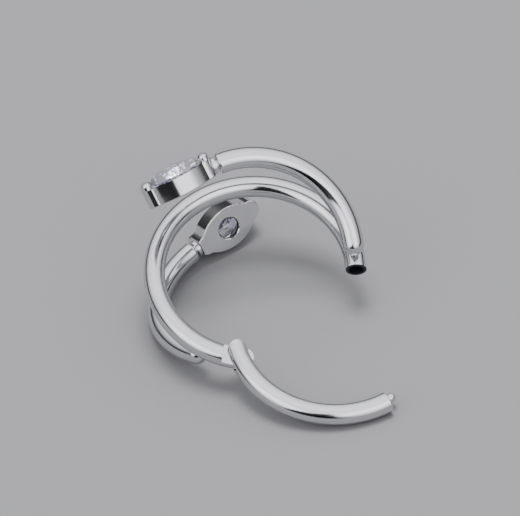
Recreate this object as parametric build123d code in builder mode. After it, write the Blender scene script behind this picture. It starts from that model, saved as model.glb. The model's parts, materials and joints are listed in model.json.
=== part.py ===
from build123d import *
import os
from math import cos, degrees, radians, sin

# A hinged segment ring for a piercing, lying open on its side. Lengths are in millimetres.
# The ring's own frame has its centre at the origin, its wire in the XY plane and its crown,
# the middle of the fixed wire, on +Y. Angles round the ring run anticlockwise from +X.

# Wire and ring
wire_d = 1.2
inner_d = 10.0
stub_angle = -31.5          # end of the fixed wire, where the segment snaps in
pivot_angle = 227.9         # hinge pin
open_angle = 60.0           # how far the segment stands open

# Hinge knuckle: a flat tongue on the fixed wire, between the two ears of a fork on the segment
tongue_t = 0.40
tongue_play = 0.03          # between tongue and each ear
tongue_reach = 0.75         # pin axis to the tongue's rounded tip
fork_reach = 0.93           # pin axis to the fork's rounded ends
knuckle_gap = 0.05          # fork's ends to the wire that they face
slot_gap = 0.12             # tongue's tip to the bottom of the fork's slot
pin_d = 0.50
pin_play = 0.03             # running clearance in the tongue, on the radius
pin_seat_gap = 0.005        # clearance in the ears, on the radius

# Snap closure
nub_d = 0.52
nub_length = 0.53
nub_inset = 0.13            # nub's axis nearer to the ring's centre than the wire's axis
socket_d = 0.84
socket_depth = 0.66
end_gap = 0.04              # between the two end faces when the ring is shut
end_round = 0.07            # rounded edges of the cut wire ends

# Bypass arms, each one arc of the same wire in its own tilted plane
arm_bend_r = 5.53
arm_turn = -12.8            # direction of the line about which the upper arm's plane tilts
arm_tilt = 26.1
arm_root_angle = -21.4      # where the upper arm's end is soldered on the ring
arm_root_lean = 2.0         # how far it sits inside the ring, from straight above the wire
solder_sink = 0.10          # how far the two wires run into each other there
arm_start = -10.9           # soldered end, an angle in the arm's plane
arm_end = 94.5              # end that carries the setting
arm_end_round = 0.12

# Marquise settings
stone_w = 2.00
stone_l = 3.40
seat_gap = 0.02
cup_wall = 0.17             # beside the stone's belly
cup_h = 1.04
end_wall = 0.43             # stone's tip to the cup's rounded end
end_r = 0.58                # radius of the rounded ends
post_wall = 0.28            # stone's tip to the flat that carries the post
claw_cover = 0.27           # how far a claw reaches in over the stone's tip
claw_nose_r = 0.52
claw_corner_r = 0.28
claw_inset = 0.015          # claw's side inside the cup's rounded end
claw_rise = 0.41            # above the rim
claw_round = 0.20
claw_clear = 0.31           # rim to the underside of the claws
end_join = 0.5              # where a side arc meets a rounded end, from its widest point
girdle_above_rim = 0.10
seat_step = 0.14            # ledge that the stone sits on
seat_play = 0.05            # stone's flank to the ledge's inner edge, in height
plate_t = 0.20
back_hole_d = 1.22
back_hole_bevel = 0.06
cup_edge_round = 0.05
setting_roll = 10.3         # turn of the setting about its long axis
setting_yaw = -4.0          # slant of its long axis to the post, to the side
setting_pitch = 5.8         # and towards its back plate
post_d = 0.56
post_gap = 0.02             # on the radius
post_depth = 0.70           # bore in the arm's end
post_end_gap = 0.05
neck_length = 0.36
collar_d = 0.98
collar_t = 0.18
collar_off = 0.04           # between cup and collar

# Search for the resting pose
rest_tolerance = 0.005
rest_rounds = 8

# Marquise brilliant cut
girdle_t = 0.06
crown_h = 0.40
table_share = 0.68          # table as a share of the stone's outline
pavilion_h = 0.82
main_angles = (0, 57, 90, 123, 180, 237, 270, 303)
break_angles = (14, 43, 67, 82, 98, 113, 137, 166, 194, 223, 247, 262, 278, 293, 317, 346)
star_angles = (28, 73, 107, 152, 208, 253, 287, 332)
star_lift = 0.45            # how much flatter than the mains the star facets lie
break_lift = 0.35           # how much steeper the facets along the girdle lie

wire_r = wire_d / 2
ring_r = inner_d / 2 + wire_r
end_at = stone_l / 2 + end_wall - end_r
claw_nose = stone_l / 2 - claw_cover
cup_length_to_post = stone_l / 2 + post_wall


def bend_point(plane, bend_r, angle):
    """Point on a wire's axis, at an angle round the centre of its bend."""
    return plane.from_local_coords((bend_r * cos(radians(angle)), bend_r * sin(radians(angle)), 0))


def bend_section(plane, bend_r, angle):
    """Plane across a bent wire: x outwards, z along the wire, anticlockwise."""
    outwards = bend_point(plane, 1, angle) - plane.origin
    return Plane(
        origin=bend_point(plane, bend_r, angle),
        x_dir=outwards,
        z_dir=plane.z_dir.cross(outwards),
    )


def bend_axis(plane):
    return Axis(plane.origin, plane.z_dir)


def opposite(vector):
    """Half a turn about the crown's axis, which takes the upper arm to the lower one."""
    return Vector(-vector.X, vector.Y, -vector.Z)


# Planes of the bends
ring_plane = Plane.XY
tilt_line = Vector(cos(radians(arm_turn)), sin(radians(arm_turn)), 0)
across_line = Vector(-sin(radians(arm_turn)), cos(radians(arm_turn)), 0)
arm_tilt_plane = Plane(
    origin=(0, 0, 0),
    x_dir=tilt_line,
    z_dir=Vector(0, 0, 1) * cos(radians(arm_tilt)) - across_line * sin(radians(arm_tilt)),
)
root = bend_section(ring_plane, ring_r, arm_root_angle)
root_side = ring_plane.z_dir * cos(radians(arm_root_lean)) - root.x_dir * sin(radians(arm_root_lean))
arm_root = root.origin + root_side * (wire_d - solder_sink)
upper_arm_plane = Plane(
    origin=arm_root - bend_point(arm_tilt_plane, arm_bend_r, arm_start),
    x_dir=arm_tilt_plane.x_dir,
    z_dir=arm_tilt_plane.z_dir,
)
lower_arm_plane = Plane(
    origin=opposite(upper_arm_plane.origin),
    x_dir=opposite(upper_arm_plane.x_dir),
    z_dir=opposite(upper_arm_plane.z_dir),
)
arm_planes = {"upper": upper_arm_plane, "lower": lower_arm_plane}


def neck_plane(arm_plane):
    """Plane where a setting's post leaves the cup, with z back along the post."""
    section = bend_section(arm_plane, arm_bend_r, arm_end)
    return Plane(origin=section.origin + section.z_dir * neck_length, z_dir=-section.z_dir)


def seat_plane(arm_plane):
    """Plane of a setting: origin in the middle of the cup, x towards its free tip, z the stone's side."""
    section = bend_section(arm_plane, arm_bend_r, arm_end)
    roll = radians(setting_roll)
    rolled = Plane(
        origin=neck_plane(arm_plane).origin,
        x_dir=section.z_dir,
        z_dir=section.x_dir * cos(roll) + arm_plane.z_dir * sin(roll),
    )
    slant = Rot(Z=setting_yaw) * Rot(Y=setting_pitch)
    return Plane(rolled.location * slant * Pos(X=cup_length_to_post))


# Hinge: x runs along the closed segment, y towards the ring's centre, z along the pin
pin_section = bend_section(ring_plane, ring_r, pivot_angle)
hinge = Plane(origin=pin_section.origin, x_dir=pin_section.z_dir, z_dir=ring_plane.z_dir)
slot_t = tongue_t + 2 * tongue_play
shoulder = fork_reach + knuckle_gap
slot_bottom = tongue_reach + slot_gap
tip_span = degrees(2 * tongue_reach / ring_r)
fork_span = degrees(1.5 * fork_reach / ring_r)
free_end_angle = stub_angle + 360 - degrees(end_gap / ring_r)

# Fixed wire with its tongue and socket, and the two arms: soldered, so one solid
with BuildPart() as ring_frame:
    with BuildSketch(bend_section(ring_plane, ring_r, stub_angle)):
        Circle(wire_r)
    revolve(axis=bend_axis(ring_plane), revolution_arc=pivot_angle + tip_span - stub_angle)

    # Tongue: the wire's middle layer past the shoulder, with a full-round tip
    for side in (1, -1):
        with BuildSketch(hinge.offset(side * tongue_t / 2)):
            with Locations((-shoulder, 0)):
                Rectangle(shoulder + 3 * tongue_reach, 3 * wire_d, align=(Align.MIN, Align.CENTER))
        extrude(amount=side * wire_d, mode=Mode.SUBTRACT)
    with BuildSketch(hinge):
        with Locations((tongue_reach - wire_r, 0)):
            Rectangle(3 * tongue_reach, 3 * wire_d, align=(Align.MIN, Align.CENTER))
            Circle(wire_r, mode=Mode.SUBTRACT)
    extrude(amount=tongue_t, both=True, mode=Mode.SUBTRACT)
    with BuildSketch(hinge):
        Circle(pin_d / 2 + pin_play)
    extrude(amount=tongue_t, both=True, mode=Mode.SUBTRACT)

    # Snap socket in the cut end
    fillet(ring_frame.faces().sort_by_distance(bend_point(ring_plane, ring_r, stub_angle))[0].edges(), end_round)
    with BuildSketch(bend_section(ring_plane, ring_r, stub_angle)):
        Circle(socket_d / 2)
    extrude(amount=socket_depth, mode=Mode.SUBTRACT)

    # Arms with a ball end on the ring, and a bore for the setting's post at the other end
    for arm_plane in arm_planes.values():
        with BuildSketch(bend_section(arm_plane, arm_bend_r, arm_start)):
            Circle(wire_r)
        revolve(axis=bend_axis(arm_plane), revolution_arc=arm_end - arm_start)
        with Locations(bend_point(arm_plane, arm_bend_r, arm_start)):
            Sphere(wire_r)
        arm_face = bend_section(arm_plane, arm_bend_r, arm_end)
        fillet(ring_frame.faces().sort_by_distance(arm_face.origin)[0].edges(), arm_end_round)
        with BuildSketch(arm_face):
            Circle(post_d / 2 + post_gap)
        extrude(amount=-post_depth, mode=Mode.SUBTRACT)

# Segment, made shut and then swung open about the pin
with BuildPart() as segment:
    with BuildSketch(bend_section(ring_plane, ring_r, pivot_angle - fork_span)):
        Circle(wire_r)
    revolve(axis=bend_axis(ring_plane), revolution_arc=free_end_angle - pivot_angle + fork_span)
    fillet(segment.faces().sort_by_distance(bend_point(ring_plane, ring_r, free_end_angle))[0].edges(), end_round)

    # Fork: full-round ends, and a slot with a round bottom for the tongue
    with BuildSketch(hinge):
        with Locations((wire_r - fork_reach, 0)):
            Rectangle(3 * fork_reach, 3 * wire_d, align=(Align.MAX, Align.CENTER))
            Circle(wire_r, mode=Mode.SUBTRACT)
    extrude(amount=wire_d, both=True, mode=Mode.SUBTRACT)
    with BuildSketch(hinge):
        Rectangle(2 * fork_reach, 3 * wire_d, align=(Align.MAX, Align.CENTER))
        Circle(slot_bottom)
    extrude(amount=slot_t / 2, both=True, mode=Mode.SUBTRACT)
    with BuildSketch(hinge):
        Circle(pin_d / 2 + pin_seat_gap)
    extrude(amount=wire_d, both=True, mode=Mode.SUBTRACT)

    # Snap nub with a domed end
    free_end = bend_section(ring_plane, ring_r, free_end_angle)
    nub_root = Plane(origin=free_end.origin - free_end.x_dir * nub_inset, x_dir=free_end.x_dir, z_dir=free_end.z_dir)
    with BuildSketch(nub_root.offset(-wire_r)):
        Circle(nub_d / 2)
    extrude(amount=wire_r + nub_length - nub_d / 2)
    with Locations(nub_root.offset(nub_length - nub_d / 2)):
        Sphere(nub_d / 2)
segment.part = segment.part.rotate(Axis(hinge.origin, hinge.z_dir), -open_angle)

# Pin, dressed flush with the segment's round wire
with BuildPart() as hinge_pin:
    with BuildSketch(hinge):
        Circle(pin_d / 2)
    extrude(amount=wire_r, both=True)
    with BuildSketch(bend_section(ring_plane, ring_r, pivot_angle - fork_span)):
        Circle(wire_r)
    revolve(axis=bend_axis(ring_plane), revolution_arc=2 * fork_span, mode=Mode.INTERSECT)
hinge_pin.part = hinge_pin.part.rotate(Axis(hinge.origin, hinge.z_dir), -open_angle)

# Settings: a marquise cup with a claw over each tip of the stone, and a post with a collar
belly_half_w = stone_w / 2 + seat_gap + cup_wall
join = (end_at + end_r * sin(radians(end_join)), end_r * cos(radians(end_join)))
end_middle = (end_at + end_r * sin(radians(45)), end_r * cos(radians(45)))
rim_z = cup_h / 2
girdle_low_z = rim_z + girdle_above_rim - girdle_t
girdle_top_z = girdle_low_z + girdle_t
ledge_z = girdle_low_z - seat_step * (1 + break_lift) * pavilion_h / (stone_w / 2) - seat_play
plate_z = -cup_h / 2 + plate_t


def marquise(length, width, z):
    """Level face between two equal arcs that meet in a point at each end."""
    with BuildSketch(Plane.XY.offset(z)) as outline:
        with BuildLine():
            ThreePointArc((length / 2, 0), (0, width / 2), (-length / 2, 0))
            ThreePointArc((-length / 2, 0), (0, -width / 2), (length / 2, 0))
        make_face()
    return outline.sketch


settings = {}
for name, arm_plane in arm_planes.items():
    seat = seat_plane(arm_plane)
    neck = Plane(seat.location.inverse() * neck_plane(arm_plane).location)
    with BuildPart() as setting:
        # Claws: the rounded ends carried up over the stone's tips, blunt and rounded over
        with BuildSketch(Plane.XY.offset(rim_z)):
            with Locations((end_at, 0)):
                Circle(end_r - claw_inset)
            with Locations((claw_nose + claw_nose_r, 0)):
                Circle(claw_nose_r, mode=Mode.INTERSECT)
            mirror(about=Plane.YZ)
        extrude(amount=claw_rise)
        upright = setting.edges().filter_by(Axis.Z)
        fillet(upright.sort_by(lambda edge: abs(edge.center().Y))[-4:], claw_corner_r)
        fillet(setting.faces().sort_by(Axis.Z)[-2:].edges(), claw_round)

        # Cup: side arcs between two rounded ends, the rear one cut square to the post
        with BuildSketch(Plane.XY.offset(-cup_h / 2)):
            with BuildLine():
                ThreePointArc((-join[0], join[1]), (0, belly_half_w), join)
                ThreePointArc(join, end_middle, (end_at + end_r, 0))
                ThreePointArc((-join[0], join[1]), (-end_middle[0], end_middle[1]), (-end_at - end_r, 0))
                mirror(about=Plane.XZ)
            make_face()
        extrude(amount=cup_h)
        fillet(setting.faces().sort_by(Axis.Z)[0].edges(), cup_edge_round)
        split(bisect_by=neck, keep=Keep.BOTTOM)

        # Seat for the stone, open well below it, and a bevelled round hole in the back plate
        opening = marquise(stone_l + 2 * seat_gap, stone_w + 2 * seat_gap, ledge_z)
        extrude(opening, amount=rim_z + claw_clear - ledge_z, mode=Mode.SUBTRACT)
        hollow = marquise(stone_l - 4 * seat_step, stone_w - 2 * seat_step, plate_z)
        extrude(hollow, amount=ledge_z - plate_z, mode=Mode.SUBTRACT)
        with BuildSketch(Plane.XY.offset(plate_z)):
            Circle(back_hole_d / 2)
        extrude(amount=-plate_t, mode=Mode.SUBTRACT)
        back = setting.faces().sort_by(Axis.Z)[0]
        chamfer(back.edges().filter_by(GeomType.CIRCLE).sort_by(SortBy.LENGTH)[-1], back_hole_bevel)

        # Post into the arm, with its collar
        with BuildSketch(neck):
            Circle(post_d / 2)
        extrude(amount=neck_length + post_depth - post_end_gap)
        with BuildSketch(neck.offset(collar_off)):
            Circle(collar_d / 2)
        extrude(amount=collar_t)
    setting.part = setting.part.moved(seat.location)
    settings[name] = setting

# Stones: a marquise block cut facet by facet
stone_arc_r = (stone_l**2 + stone_w**2) / (4 * stone_w)


def reach(angle):
    """Distance from the stone's middle to the outline's tangent line that faces this way."""
    along = abs(cos(radians(angle)))
    if along > stone_l / 2 / stone_arc_r:
        return along * stone_l / 2
    return stone_arc_r - (stone_arc_r - stone_w / 2) * abs(sin(radians(angle)))


def facet(angle, share, z, slope):
    """Plane of a facet: at height z it touches a share of the outline, and slope is rise over run."""
    facing = Vector(cos(radians(angle)), sin(radians(angle)), 0)
    touch = facing * (share * reach(angle)) + Vector(0, 0, z)
    return Plane(origin=touch, z_dir=facing * abs(slope) + Vector(0, 0, 1 if slope > 0 else -1))


stones = {}
for name, arm_plane in arm_planes.items():
    with BuildPart() as stone:
        block = marquise(stone_l, stone_w, girdle_low_z - pavilion_h)
        extrude(block, amount=pavilion_h + girdle_t + crown_h)
        for angle in main_angles:
            crown_slope = crown_h / (1 - table_share) / reach(angle)
            split(bisect_by=facet(angle, 1, girdle_top_z, crown_slope), keep=Keep.BOTTOM)
            split(bisect_by=facet(angle, 1, girdle_low_z, -pavilion_h / reach(angle)), keep=Keep.BOTTOM)
        for angle in break_angles:
            crown_slope = (1 + break_lift) * crown_h / (1 - table_share) / reach(angle)
            pavilion_slope = (1 + break_lift) * pavilion_h / reach(angle)
            split(bisect_by=facet(angle, 1, girdle_top_z, crown_slope), keep=Keep.BOTTOM)
            split(bisect_by=facet(angle, 1, girdle_low_z, -pavilion_slope), keep=Keep.BOTTOM)
        for angle in star_angles:
            star_slope = (1 - star_lift) * crown_h / (1 - table_share) / reach(angle)
            split(bisect_by=facet(angle, table_share, girdle_top_z + crown_h, star_slope), keep=Keep.BOTTOM)
    stone.part = stone.part.moved(seat_plane(arm_plane).location)
    stones[name] = stone

# Rest on a table: the open ring leans on its segment, its lower setting and its lower arm
pieces = {"ring_frame": ring_frame, "segment": segment, "hinge_pin": hinge_pin}
for name in arm_planes:
    pieces[f"setting_{name}"] = settings[name]
    pieces[f"stone_{name}"] = stones[name]
supports = [pieces[name].part.tessellate(rest_tolerance)[0] for name in ("segment", "setting_lower", "ring_frame")]
up = Vector(0, 0, 1)
for _ in range(rest_rounds):
    toe, cup_foot, arm_foot = [min(points, key=up.dot) for points in supports]
    up = (cup_foot - toe).cross(arm_foot - toe).normalized()
table = Plane(origin=(0, 0, 0), x_dir=Vector(0, 1, 0).cross(up), z_dir=up)
boxes = []
for piece in pieces.values():
    piece.part = table.to_local_coords(piece.part)
    boxes.append(piece.part.bounding_box())
middle_x = (min(box.min.X for box in boxes) + max(box.max.X for box in boxes)) / 2
middle_y = (min(box.min.Y for box in boxes) + max(box.max.Y for box in boxes)) / 2
bottom = min(box.min.Z for box in boxes)

os.makedirs("parts", exist_ok=True)
for name, piece in pieces.items():
    piece.part = piece.part.translate((-middle_x, -middle_y, -bottom))
    piece.part.label = name
    export_step(piece.part, f"parts/{name}.step")
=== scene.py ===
import json
import math

import bpy
from mathutils import Matrix, Vector

# A hinged segment ring for a piercing, lying open on its side on a pale table.
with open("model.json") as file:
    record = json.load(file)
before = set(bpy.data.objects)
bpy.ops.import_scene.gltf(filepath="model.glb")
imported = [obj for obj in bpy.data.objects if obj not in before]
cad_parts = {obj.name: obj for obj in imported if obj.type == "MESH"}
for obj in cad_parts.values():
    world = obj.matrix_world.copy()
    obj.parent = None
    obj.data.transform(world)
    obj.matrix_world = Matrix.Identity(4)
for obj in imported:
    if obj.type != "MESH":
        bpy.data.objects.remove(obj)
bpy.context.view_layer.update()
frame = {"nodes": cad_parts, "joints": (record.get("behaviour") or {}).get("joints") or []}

# Ring frame: round surgical steel wire bent to a ring, with two bypass arms soldered on. It is
# filed and then polished to a mirror on a wheel, which leaves faint hairlines and slightly duller
# patches. The socket drilled in its free end and the end face round it get painted shade, near
# black, and are left rough.


def shader_group(name, inputs, outputs):
    """Node group with named sockets and nothing in it yet; gives the group and its two ends."""
    group = bpy.data.node_groups.new(name, "ShaderNodeTree")
    for in_out, sockets in (("INPUT", inputs), ("OUTPUT", outputs)):
        for socket, kind in sockets.items():
            group.interface.new_socket(name=socket, in_out=in_out, socket_type="NodeSocket" + kind)
    return group, group.nodes.new("NodeGroupInput"), group.nodes.new("NodeGroupOutput")


def calculate(tree, kind, operation, *values):
    """Adds one step of arithmetic to a node tree and gives the socket with its result."""
    step = tree.nodes.new("ShaderNode" + kind)
    step.operation = operation
    for socket, value in zip(step.inputs, values):
        if isinstance(value, (float, Vector)):
            socket.default_value = value
        else:
            tree.links.new(value, socket)
    return next(socket for socket in step.outputs if socket.enabled)


polish, polish_in, polish_out = shader_group(
    "polished_wire_finish",
    {
        "Hairline Fineness": "Float",
        "Hairline Depth": "Float",
        "Least Roughness": "Float",
        "Most Roughness": "Float",
        "Bright Steel": "Color",
        "Shaded Steel": "Color",
    },
    {"Colour": "Color", "Roughness": "Float", "Height": "Float"},
)
polish_place = polish.nodes.new("ShaderNodeTexCoord")
patches = polish.nodes.new("ShaderNodeTexNoise")
patches.inputs["Scale"].default_value = 900.0
patches.inputs["Detail"].default_value = 3.0
polish.links.new(polish_place.outputs["Object"], patches.inputs["Vector"])
patch_spread = polish.nodes.new("ShaderNodeMapRange")
patch_spread.inputs["From Min"].default_value = 0.35
patch_spread.inputs["From Max"].default_value = 0.70
polish.links.new(patches.outputs["Fac"], patch_spread.inputs["Value"])
polish.links.new(polish_in.outputs["Least Roughness"], patch_spread.inputs["To Min"])
polish.links.new(polish_in.outputs["Most Roughness"], patch_spread.inputs["To Max"])
polish.links.new(patch_spread.outputs["Result"], polish_out.inputs["Roughness"])
shade = polish.nodes.new("ShaderNodeMix")
shade.data_type = "RGBA"
polish.links.new(patches.outputs["Fac"], shade.inputs["Factor"])
polish.links.new(polish_in.outputs["Bright Steel"], shade.inputs["A"])
polish.links.new(polish_in.outputs["Shaded Steel"], shade.inputs["B"])
polish.links.new(shade.outputs["Result"], polish_out.inputs["Colour"])
hairlines = polish.nodes.new("ShaderNodeTexNoise")
hairlines.inputs["Detail"].default_value = 4.0
hairlines.inputs["Distortion"].default_value = 1.5
polish.links.new(polish_place.outputs["Object"], hairlines.inputs["Vector"])
polish.links.new(polish_in.outputs["Hairline Fineness"], hairlines.inputs["Scale"])
hairline_height = calculate(
    polish, "Math", "MULTIPLY", hairlines.outputs["Fac"], polish_in.outputs["Hairline Depth"]
)
polish.links.new(hairline_height, polish_out.inputs["Height"])


def polished_steel(name, finish):
    """Mirror-polished steel with the workshop's hairlines and duller patches."""
    steel = bpy.data.materials.new(name)
    steel.use_nodes = True
    tree = steel.node_tree
    surface = tree.nodes["Principled BSDF"]
    surface.inputs["Metallic"].default_value = 1.0
    polished = tree.nodes.new("ShaderNodeGroup")
    polished.node_tree = polish
    for socket, value in finish.items():
        polished.inputs[socket].default_value = value
    tree.links.new(polished.outputs["Colour"], surface.inputs["Base Color"])
    tree.links.new(polished.outputs["Roughness"], surface.inputs["Roughness"])
    relief = tree.nodes.new("ShaderNodeBump")
    relief.inputs["Strength"].default_value = 1.0
    relief.inputs["Distance"].default_value = 0.001     # the hairlines' depth is in millimetres
    tree.links.new(polished.outputs["Height"], relief.inputs["Height"])
    tree.links.new(relief.outputs["Normal"], surface.inputs["Normal"])
    return steel


# Mask for painted shade: 1 inside a bore's cylinder, from its start to its depth. The same mask
# also leaves the steel rougher there.
bore_shade_group, bore_shade_in, bore_shade_out = shader_group(
    "bore_painted_shade_and_roughness",
    {"Start": "Vector", "Direction": "Vector", "Radius": "Float", "Depth": "Float"},
    {"Mask": "Float"},
)
bore_shade_place = bore_shade_group.nodes.new("ShaderNodeTexCoord")
from_start = calculate(
    bore_shade_group, "VectorMath", "SUBTRACT", bore_shade_place.outputs["Object"], bore_shade_in.outputs["Start"]
)
bore_direction = bore_shade_in.outputs["Direction"]
along = calculate(bore_shade_group, "VectorMath", "DOT_PRODUCT", from_start, bore_direction)
across = calculate(bore_shade_group, "VectorMath", "CROSS_PRODUCT", from_start, bore_direction)
off_axis = calculate(bore_shade_group, "VectorMath", "LENGTH", across)
within = calculate(bore_shade_group, "Math", "LESS_THAN", off_axis, bore_shade_in.outputs["Radius"])
past_start = calculate(bore_shade_group, "Math", "GREATER_THAN", along, 0.0)
before_end = calculate(bore_shade_group, "Math", "LESS_THAN", along, bore_shade_in.outputs["Depth"])
between_ends = calculate(bore_shade_group, "Math", "MULTIPLY", past_start, before_end)
in_bore = calculate(bore_shade_group, "Math", "MULTIPLY", between_ends, within)
bore_shade_group.links.new(in_bore, bore_shade_out.inputs["Mask"])
# Painted shade: the near-black colour put into bores and on the end face round the socket, where
# shade falls. The roughness is the drilled finish.
painted_bore_shade = (0.05, 0.05, 0.06, 1)
drilled_roughness = 0.5


def paint_bore_shade_and_roughen(steel, start, direction, radius, depth):
    """Paints shade inside a bore, near black, and leaves it rough as drilled."""
    tree = steel.node_tree
    surface = tree.nodes["Principled BSDF"]
    bore = tree.nodes.new("ShaderNodeGroup")
    bore.node_tree = bore_shade_group
    bore.inputs["Start"].default_value = start
    bore.inputs["Direction"].default_value = direction
    bore.inputs["Radius"].default_value = radius
    bore.inputs["Depth"].default_value = depth
    for socket, kind, bore_shade_and_roughness_value in (
        ("Base Color", "RGBA", painted_bore_shade),
        ("Roughness", "FLOAT", drilled_roughness),
    ):
        blend = tree.nodes.new("ShaderNodeMix")
        blend.data_type = kind
        tree.links.new(bore.outputs["Mask"], blend.inputs["Factor"])
        tree.links.new(surface.inputs[socket].links[0].from_socket, blend.inputs["A"])
        blend.inputs["B"].default_value = bore_shade_and_roughness_value
        tree.links.new(blend.outputs["Result"], surface.inputs[socket])


def finish_piece(node, material):
    """Gives a CAD piece its material."""
    piece = frame["nodes"][node]
    piece.data.materials.clear()
    piece.data.materials.append(material)


# The ring's own axes and its middle, from the hinge pin that the frame gives
hinge = frame["joints"][0]
ring_axis = Vector(hinge["axis"]).normalized()
crown = Vector((0.0, ring_axis.z, -ring_axis.y)).normalized()
ring_x = crown.cross(ring_axis)
ring_radius = 0.0056             # to the middle of the wire
hinge_turn = math.radians(227.9)
ring_middle = Vector(hinge["pos_m"]) - ring_radius * (
    ring_x * math.cos(hinge_turn) + crown * math.sin(hinge_turn)
)
socket_turn = math.radians(-31.5)
socket_out = ring_x * math.cos(socket_turn) + crown * math.sin(socket_turn)
socket_in = crown * math.cos(socket_turn) - ring_x * math.sin(socket_turn)
mask_start = 0.00001             # the masks start just outside the end face
socket_mouth = ring_middle + socket_out * ring_radius - socket_in * mask_start
socket_radius, socket_depth = 0.00043, 0.00075
# width and depth of the painted shade on the end face round the socket
end_face_shade_radius, end_face_shade_depth = 0.00070, 0.00004
wire_finish = {
    "Hairline Fineness": 2600.0,
    "Hairline Depth": 0.0007,
    "Least Roughness": 0.05,
    "Most Roughness": 0.17,
    "Bright Steel": (0.70, 0.70, 0.71, 1),
    "Shaded Steel": (0.61, 0.61, 0.63, 1),
}
frame_steel = polished_steel("frame_steel", wire_finish)
# Painted shade, near black, in the socket and on the end face round it, which are also left rough.
paint_bore_shade_and_roughen(frame_steel, socket_mouth, socket_in, socket_radius, socket_depth)
paint_bore_shade_and_roughen(frame_steel, socket_mouth, socket_in, end_face_shade_radius, end_face_shade_depth)
finish_piece("ring_frame", frame_steel)

# Segment: the same wire, hinged on a small pin whose ends are filed flush with the fork and
# polished together with it.
wire_steel = polished_steel("wire_steel", wire_finish)
finish_piece("segment", wire_steel)
finish_piece("hinge_pin", wire_steel)

# Settings: cast steel cups, each on a post in the end of an arm. They are polished by hand, more
# evenly than the wire. The hole drilled in each back plate gets painted shade, near black, and is
# left rough.
cup_finish = {
    "Hairline Fineness": 3400.0,
    "Hairline Depth": 0.0006,
    "Least Roughness": 0.06,
    "Most Roughness": 0.15,
    "Bright Steel": (0.70, 0.70, 0.71, 1),
    "Shaded Steel": (0.60, 0.60, 0.62, 1),
}
cup_steel = polished_steel("cup_steel", cup_finish)
hole_radius, hole_depth = 0.00063, 0.00022
back_holes = [                   # middle and axis, in the lower plate and in the upper one
    (Vector((0.00175, 0.00764, 0.00146)), Vector((0.0323, 0.9377, -0.3458))),
    (Vector((-0.00175, 0.00588, 0.00793)), Vector((-0.0323, 0.6349, 0.7719))),
]
# Painted shade, near black, inside the hole in each back plate, which is also left rough.
for hole_middle, hole_axis in back_holes:
    hole_start = hole_middle - hole_axis * hole_depth / 2
    paint_bore_shade_and_roughen(cup_steel, hole_start, hole_axis, hole_radius, hole_depth)
finish_piece("setting_upper", cup_steel)
finish_piece("setting_lower", cup_steel)

# Stones: clear cubic zirconia in a marquise brilliant cut, with the faint violet cast that the
# photograph shows in the facets. The lap that cuts the facets leaves shallow marks, and with the
# slight share of white they give the fine sparkle.
zirconia = bpy.data.materials.new("clear_zirconia")
zirconia.use_nodes = True
stone_tree = zirconia.node_tree
stone_surface = stone_tree.nodes["Principled BSDF"]
stone_surface.inputs["Transmission Weight"].default_value = 0.93
stone_surface.inputs["IOR"].default_value = 2.15
stone_surface.inputs["Roughness"].default_value = 0.0
stone_place = stone_tree.nodes.new("ShaderNodeTexCoord")
cast = stone_tree.nodes.new("ShaderNodeTexNoise")
cast.inputs["Scale"].default_value = 3200.0
cast.inputs["Detail"].default_value = 2.0
stone_tree.links.new(stone_place.outputs["Object"], cast.inputs["Vector"])
cast_colours = stone_tree.nodes.new("ShaderNodeValToRGB")
violet_end, clear_end = cast_colours.color_ramp.elements
violet_end.position = 0.40
violet_end.color = (0.78, 0.74, 1.0, 1)
clear_end.position = 0.58
clear_end.color = (1.0, 1.0, 1.0, 1)
stone_tree.links.new(cast.outputs["Fac"], cast_colours.inputs["Fac"])
stone_tree.links.new(cast_colours.outputs["Color"], stone_surface.inputs["Base Color"])
lap_marks = stone_tree.nodes.new("ShaderNodeTexVoronoi")
lap_marks.inputs["Scale"].default_value = 4200.0
stone_tree.links.new(stone_place.outputs["Object"], lap_marks.inputs["Vector"])
lap_relief = stone_tree.nodes.new("ShaderNodeBump")
lap_relief.inputs["Strength"].default_value = 1.0
lap_relief.inputs["Distance"].default_value = 0.000008
stone_tree.links.new(lap_marks.outputs["Distance"], lap_relief.inputs["Height"])
stone_tree.links.new(lap_relief.outputs["Normal"], stone_surface.inputs["Normal"])
finish_piece("stone_upper", zirconia)
finish_piece("stone_lower", zirconia)

# Table: a plain pale matt board under the ring, wide enough to fill the picture. It shows the
# ring's soft shadow.
table_half = 0.30
table_corners = [
    (-table_half, -table_half, 0),
    (table_half, -table_half, 0),
    (table_half, table_half, 0),
    (-table_half, table_half, 0),
]
table_mesh = bpy.data.meshes.new("table")
table_mesh.from_pydata(table_corners, [], [(0, 1, 2, 3)])
table = bpy.data.objects.new("table", table_mesh)
bpy.context.scene.collection.objects.link(table)
board = bpy.data.materials.new("pale_board")
board.use_nodes = True
board_surface = board.node_tree.nodes["Principled BSDF"]
board_surface.inputs["Base Color"].default_value = (0.17, 0.17, 0.175, 1)
board_surface.inputs["Roughness"].default_value = 0.9
table_mesh.materials.append(board)

# Light tent: white cloth all round that ends a little above the table. It is brightest overhead
# and in two lit panels at the front, and between them it is open, low on the left of the camera.
front = math.radians(-119.6)     # the camera's side, as an angle from +X


def tent_direction(turn, height):
    """Direction from the ring into the tent: degrees to the camera's right, and of height."""
    angle = front + math.radians(turn)
    rise = math.radians(height)
    level = math.cos(rise)
    return Vector((math.cos(angle) * level, math.sin(angle) * level, math.sin(rise)))


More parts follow.
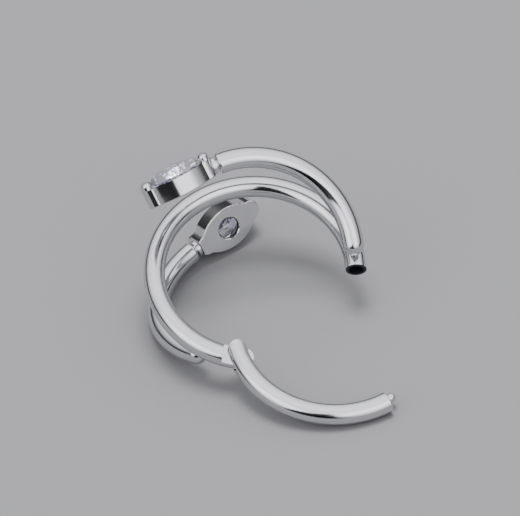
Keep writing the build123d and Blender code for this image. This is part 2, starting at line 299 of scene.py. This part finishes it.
tent = bpy.data.worlds.new("light_tent")
bpy.context.scene.world = tent
tent.use_nodes = True
cloth = tent.node_tree
cloth_red_green = 0.97           # against its blue, in the white of the cloth
looking = cloth.nodes.new("ShaderNodeTexCoord")
height_of = cloth.nodes.new("ShaderNodeSeparateXYZ")
cloth.links.new(looking.outputs["Generated"], height_of.inputs["Vector"])
glow = cloth.nodes.new("ShaderNodeValToRGB")
cloth.links.new(height_of.outputs["Z"], glow.inputs["Fac"])
glow_steps = [                   # height in the tent, from table to top, and brightness there
    (0.0, 0.04),
    (0.18, 0.10),
    (0.40, 0.95),
    (0.62, 1.60),
    (0.88, 1.90),
    (1.0, 2.10),
]
while len(glow.color_ramp.elements) < len(glow_steps):
    glow.color_ramp.elements.new(0.5)
for element, (height, brightness) in zip(glow.color_ramp.elements, glow_steps):
    element.position = height
    element.color = (brightness * cloth_red_green, brightness * cloth_red_green, brightness, 1)


def beyond(normal, edge, softness):
    """1 on the side of a plane that its normal points to, fading to 0 over a soft edge."""
    side = calculate(cloth, "VectorMath", "DOT_PRODUCT", looking.outputs["Generated"], normal)
    fade = cloth.nodes.new("ShaderNodeMapRange")
    fade.inputs["From Min"].default_value = edge - softness
    fade.inputs["From Max"].default_value = edge + softness
    cloth.links.new(side, fade.inputs["Value"])
    return fade.outputs["Result"]


panels = [                       # turn, height, half width of bright middle and of rim, brightness
    (-52.0, 27.0, 14.0, 34.0, 1.45),
    (30.0, 26.0, 16.0, 36.0, 1.30),
]
glow_total = glow.outputs["Color"]
for turn, height, middle, rim, brightness in panels:
    inner, outer = math.cos(math.radians(middle)), math.cos(math.radians(rim))
    lit = beyond(tent_direction(turn, height), (inner + outer) / 2, (inner - outer) / 2)
    panel_glow = calculate(cloth, "Math", "MULTIPLY", lit, brightness)
    glow_total = calculate(cloth, "Math", "ADD", glow_total, panel_glow)
edge_softness = 0.03
edge_at_front = tent_direction(0.0, 47.0)
edge_on_table = tent_direction(-47.0, 0.0)
upper_edge = edge_on_table.cross(edge_at_front).normalized()
right_edge = tent_direction(90.0, 0.0)
above_opening = beyond(upper_edge, 0.0, edge_softness)
right_of_opening = beyond(right_edge, 0.0, edge_softness)
closed = calculate(cloth, "Math", "MAXIMUM", above_opening, right_of_opening)
opening_share = 0.04             # of the cloth's light comes through the opening
cloth_share = calculate(cloth, "Math", "MAXIMUM", closed, opening_share)
glow_total = calculate(cloth, "Math", "MULTIPLY", glow_total, cloth_share)
background = cloth.nodes["Background"]
cloth.links.new(glow_total, background.inputs["Strength"])
background.inputs["Color"].default_value = (cloth_red_green, cloth_red_green, 1.0, 1.0)

# Overhead box: a square soft light high over the ring, which makes the soft shadow under it. It
# doesn't show in the steel, where only the cloth is reflected.
box_size = 0.16
box_watts_per_m2 = 88.0
box_distance = 0.40
box_direction = tent_direction(160.0, 84.0)
box_lamp = bpy.data.lights.new("overhead_box", "AREA")
box_lamp.shape = "RECTANGLE"
box_lamp.size = box_size
box_lamp.size_y = box_size
box_lamp.energy = box_watts_per_m2 * box_size * box_size
overhead_box = bpy.data.objects.new("overhead_box", box_lamp)
box_place = Matrix.Translation(ring_middle + box_direction * box_distance)
box_turn = box_direction.to_track_quat("Z", "Y").to_matrix().to_4x4()
overhead_box.matrix_world = box_place @ box_turn
bpy.context.scene.collection.objects.link(overhead_box)
overhead_box.visible_glossy = False

# Camera: a long lens far away, at the photograph's viewing angle. The ring's middle falls on the
# same pixel as in the photograph.
lens = 1500.0
sensor = 36.0
photo_width, photo_height = 520, 516
pixels_per_mm = 18.051
distance = lens / sensor * photo_width / pixels_per_mm / 1000
ring_turn = math.radians(34.75)
tilt = math.radians(30.87)
roll = math.radians(-1.21)
flat_right = ring_x * math.cos(ring_turn) - crown * math.sin(ring_turn)
flat_up = ring_x * math.sin(ring_turn) + crown * math.cos(ring_turn)
level_up = flat_up * math.cos(tilt) + ring_axis * math.sin(tilt)
to_viewer = ring_axis * math.cos(tilt) - flat_up * math.sin(tilt)
right = flat_right * math.cos(roll) - level_up * math.sin(roll)
up = flat_right * math.sin(roll) + level_up * math.cos(roll)
ring_pixel = (255.19, 272.81)
shift_right = (photo_width / 2 - ring_pixel[0]) / pixels_per_mm / 1000
shift_up = (ring_pixel[1] - photo_height / 2) / pixels_per_mm / 1000
spot = ring_middle + to_viewer * distance + right * shift_right + up * shift_up
camera_data = bpy.data.cameras.new("camera")
camera_data.lens = lens
camera_data.sensor_width = sensor
camera_data.clip_start = 0.2
camera_data.clip_end = 10.0
camera = bpy.data.objects.new("camera", camera_data)
camera_turn = Matrix((right, up, to_viewer)).transposed().to_4x4()
camera.matrix_world = Matrix.Translation(spot) @ camera_turn
bpy.context.scene.collection.objects.link(camera)
bpy.context.scene.camera = camera
